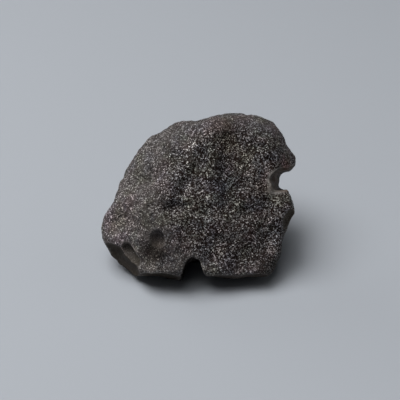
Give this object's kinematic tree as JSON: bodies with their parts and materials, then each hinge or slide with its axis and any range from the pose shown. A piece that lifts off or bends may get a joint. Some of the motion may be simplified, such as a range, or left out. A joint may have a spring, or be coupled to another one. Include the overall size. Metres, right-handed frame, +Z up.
{
  "type": "tektite",
  "caption": "Dark natural-glass stone, an angular pitted lump with a grainy etched skin, notched edges and smooth chipped scoops; lies on a small flat spot.",
  "frame": {"origin": "on the surface that the stone rests on, under the middle of its bounding box", "axes": "+X along the stone's length, +Z up as it rests, -Y towards the foot of its broad face, which looks towards -Y and 35 degrees up"},
  "size_m": [0.0426, 0.0322, 0.0331],
  "materials": {
    "natural_glass": "matte"
  },
  "bodies": {
    "root": {"tektite": "natural_glass"}
  },
  "joints": []
}
